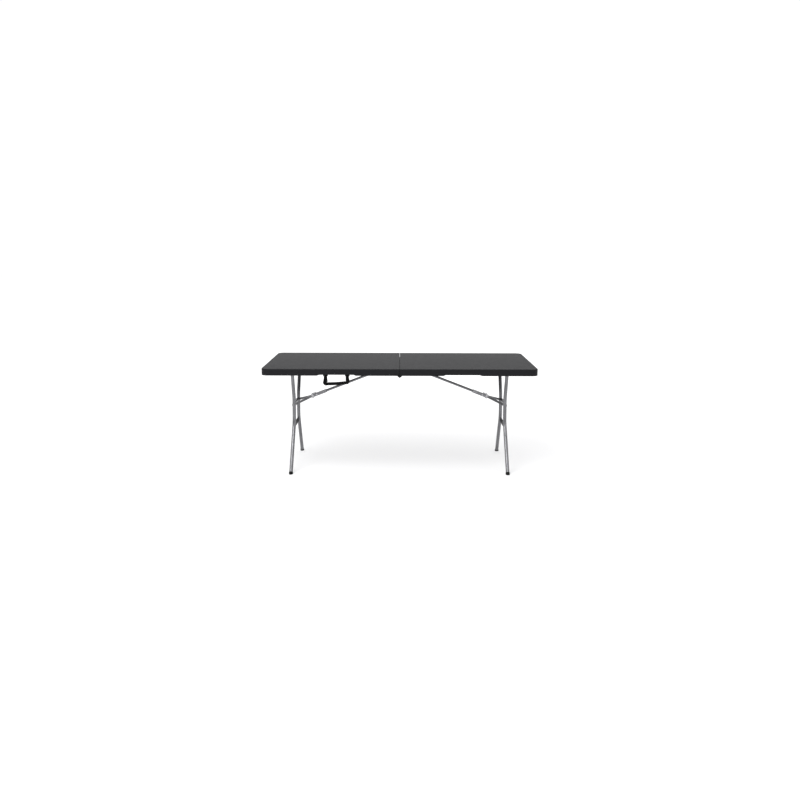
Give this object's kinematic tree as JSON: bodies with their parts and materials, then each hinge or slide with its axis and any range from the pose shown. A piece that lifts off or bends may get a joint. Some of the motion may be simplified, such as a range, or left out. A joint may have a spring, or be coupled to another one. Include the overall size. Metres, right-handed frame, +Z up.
{
  "type": "folding table",
  "caption": "Rectangular folding table with a moulded top that folds in half, folding steel leg frames with sliding brace locks, and a carry handle.",
  "frame": {"origin": "on the floor under the middle of the table", "axes": "+X along the length, +Y from the handle side to the other side, +Z up"},
  "size_m": [1.829, 0.762, 0.743],
  "materials": {
    "top": "pebbled moulded plastic",
    "tube": "silver-grey powder coat",
    "rail": "silver-grey powder coat",
    "black_steel": "black powder coat",
    "zinc": "zinc plated",
    "rubber": "moulded rubber",
    "grip": "moulded plastic",
    "nylon": "nylon"
  },
  "bodies": {
    "left_half": {"left_top": "top", "left_front_rail": "rail", "left_rear_rail": "rail", "left_rail_screws": "zinc", "left_pivot_bushes": "nylon", "left_brace_bracket": "zinc", "left_brace_pin": "zinc", "left_bracket_screws": "zinc", "left_front_hinge_plate": "black_steel", "left_rear_hinge_plate": "black_steel", "left_hinge_rivets": "black_steel", "front_hinge_pin": "black_steel", "rear_hinge_pin": "black_steel", "handle_pins": "zinc", "handle_brackets": "black_steel"},
    "right_half": {"right_top": "top", "right_front_rail": "rail", "right_rear_rail": "rail", "right_rail_screws": "zinc", "right_pivot_bushes": "nylon", "right_brace_bracket": "zinc", "right_brace_pin": "zinc", "right_bracket_screws": "zinc", "right_front_hinge_plate": "black_steel", "right_rear_hinge_plate": "black_steel", "right_hinge_rivets": "black_steel"},
    "left_leg": {"left_pivot_tube": "tube", "left_pivot_studs": "zinc", "left_front_leg": "tube", "left_rear_leg": "tube", "left_leg_crossbar": "tube", "left_leg_spreader": "black_steel", "left_front_foot": "rubber", "left_rear_foot": "rubber"},
    "right_leg": {"right_pivot_tube": "tube", "right_pivot_studs": "zinc", "right_front_leg": "tube", "right_rear_leg": "tube", "right_leg_crossbar": "tube", "right_leg_spreader": "black_steel", "right_front_foot": "rubber", "right_rear_foot": "rubber"},
    "left_fork": {"left_front_strut": "tube", "left_rear_strut": "tube", "left_knuckle_rivets": "zinc"},
    "right_fork": {"right_front_strut": "tube", "right_rear_strut": "tube", "right_knuckle_rivets": "zinc"},
    "left_brace": {"left_brace_tube": "tube", "left_knuckle_channel": "tube", "left_brace_rivets": "zinc"},
    "right_brace": {"right_brace_tube": "tube", "right_knuckle_channel": "tube", "right_brace_rivets": "zinc"},
    "left_lock": {"left_brace_lock": "zinc"},
    "right_lock": {"right_brace_lock": "zinc"},
    "handle": {"carry_handle": "grip"}
  },
  "joints": [
    {"name": "centre_fold", "type": "hinge", "parent": "left_half", "child": "right_half", "pos_m": [0, 0, 0.69], "axis": [0, 1, 0], "range_deg": [0, 90]},
    {"name": "left_leg_fold", "type": "hinge", "parent": "left_half", "child": "left_leg", "pos_m": [-0.732, 0, 0.708], "axis": [0, -1, 0], "range_deg": [0, 91]},
    {"name": "left_fork_pivot", "type": "hinge", "parent": "left_leg", "child": "left_fork", "pos_m": [-0.74268, 0, 0.44015], "axis": [0, -1, 0], "range_deg": [-0.1, 60.81]},
    {"name": "left_brace_pivot", "type": "hinge", "parent": "left_half", "child": "left_brace", "pos_m": [-0.045, 0, 0.71], "axis": [0, -1, 0], "range_deg": [-22.48, 0.1]},
    {"name": "left_lock_slide", "type": "slide", "parent": "left_fork", "child": "left_lock", "axis": [0.9327, 0, 0.3607], "range_m": [0, 0.014]},
    {"name": "right_leg_fold", "type": "hinge", "parent": "right_half", "child": "right_leg", "pos_m": [0.732, 0, 0.708], "axis": [0, 1, 0], "range_deg": [0, 91]},
    {"name": "right_fork_pivot", "type": "hinge", "parent": "right_leg", "child": "right_fork", "pos_m": [0.74268, 0, 0.44015], "axis": [0, 1, 0], "range_deg": [-0.1, 60.81]},
    {"name": "right_brace_pivot", "type": "hinge", "parent": "right_half", "child": "right_brace", "pos_m": [0.045, 0, 0.71], "axis": [0, 1, 0], "range_deg": [-22.48, 0.1]},
    {"name": "right_lock_slide", "type": "slide", "parent": "right_fork", "child": "right_lock", "axis": [-0.9327, 0, 0.3607], "range_m": [0, 0.014]},
    {"name": "handle_swing", "type": "hinge", "parent": "left_half", "child": "handle", "pos_m": [-0.418, -0.357, 0.698], "axis": [-1, 0, 0], "range_deg": [-40, 90]}
  ],
  "couplings": [
    {"joint": "left_fork_pivot", "follows": "left_leg_fold", "ratio": 0.66717},
    {"joint": "left_brace_pivot", "follows": "left_leg_fold", "ratio": -0.2459},
    {"joint": "right_fork_pivot", "follows": "right_leg_fold", "ratio": 0.66717},
    {"joint": "right_brace_pivot", "follows": "right_leg_fold", "ratio": -0.2459}
  ]
}
